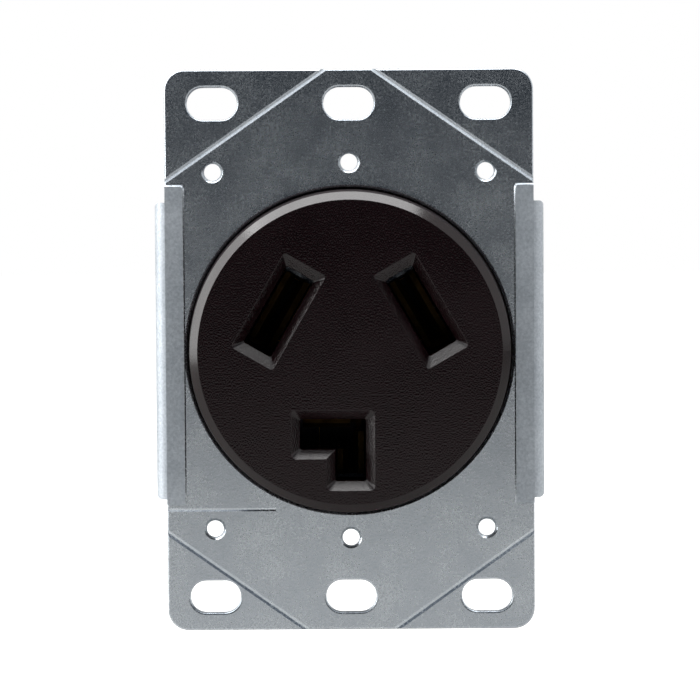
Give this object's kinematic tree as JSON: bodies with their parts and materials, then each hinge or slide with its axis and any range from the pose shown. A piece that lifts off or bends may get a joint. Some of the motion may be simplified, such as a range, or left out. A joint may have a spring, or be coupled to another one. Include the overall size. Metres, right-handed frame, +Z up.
{
  "type": "three prong dryer outlet",
  "caption": "Flush round dryer outlet in a steel mounting strap, with two angled blade slots, one L-shaped slot and clamp terminals at the back.",
  "frame": {"origin": "centre of the four box-screw slots, on the strap's rear plane", "axes": "+Z up along the strap, -Y out of the face towards the user, +X to the right seen from the front"},
  "size_m": [0.0658, 0.0385, 0.0948],
  "materials": {
    "strap": "zinc plated sheet steel, fine grain",
    "face": "moulded black thermoset, fine grain",
    "housing": "moulded black thermoset",
    "contact": "stamped brass strip",
    "spring": "spring steel",
    "insulator": "vulcanised fibre sheet",
    "lug": "machined brass",
    "hot_screw": "brass",
    "neutral_screw": "nickel plated steel",
    "pressure_plate": "plated steel",
    "assembly_screw": "zinc plated steel"
  },
  "bodies": {
    "outlet": {"mounting_strap": "strap", "face_body": "face", "rear_housing": "housing", "left_contact": "contact", "left_contact_spring": "spring", "left_insulator": "insulator", "left_terminal_lug": "lug", "right_contact": "contact", "right_contact_spring": "spring", "right_insulator": "insulator", "right_terminal_lug": "lug", "neutral_contact": "contact", "neutral_contact_spring": "spring", "neutral_insulator": "insulator", "neutral_terminal_lug": "lug", "assembly_screw_1": "assembly_screw", "assembly_screw_2": "assembly_screw", "assembly_screw_3": "assembly_screw"},
    "left_plate": {"left_pressure_plate": "pressure_plate"},
    "left_screw": {"left_terminal_screw": "hot_screw"},
    "right_plate": {"right_pressure_plate": "pressure_plate"},
    "right_screw": {"right_terminal_screw": "hot_screw"},
    "neutral_plate": {"neutral_pressure_plate": "pressure_plate"},
    "neutral_screw": {"neutral_terminal_screw": "neutral_screw"}
  },
  "joints": [
    {"name": "left_plate_slide", "type": "slide", "parent": "outlet", "child": "left_plate", "axis": [0.866, 0, -0.5], "range_m": [0, 0.0042]},
    {"name": "left_screw_turn", "type": "hinge", "parent": "left_plate", "child": "left_screw", "pos_m": [-0.02079, 0.0209, 0.012], "axis": [0.866, 0, -0.5], "range_deg": [0, 1668]},
    {"name": "right_plate_slide", "type": "slide", "parent": "outlet", "child": "right_plate", "axis": [-0.866, 0, -0.5], "range_m": [0, 0.0042]},
    {"name": "right_screw_turn", "type": "hinge", "parent": "right_plate", "child": "right_screw", "pos_m": [0.02079, 0.0209, 0.012], "axis": [-0.866, 0, -0.5], "range_deg": [0, 1668]},
    {"name": "neutral_plate_slide", "type": "slide", "parent": "outlet", "child": "neutral_plate", "axis": [0, 0, 1], "range_m": [0, 0.0042]},
    {"name": "neutral_screw_turn", "type": "hinge", "parent": "neutral_plate", "child": "neutral_screw", "pos_m": [0, 0.0209, -0.024], "axis": [0, 0, 1], "range_deg": [0, 1668]}
  ],
  "couplings": [
    {"joint": "left_screw_turn", "follows": "left_plate_slide", "rad_per_m": 6926.3},
    {"joint": "right_screw_turn", "follows": "right_plate_slide", "rad_per_m": 6926.3},
    {"joint": "neutral_screw_turn", "follows": "neutral_plate_slide", "rad_per_m": 6926.3}
  ]
}
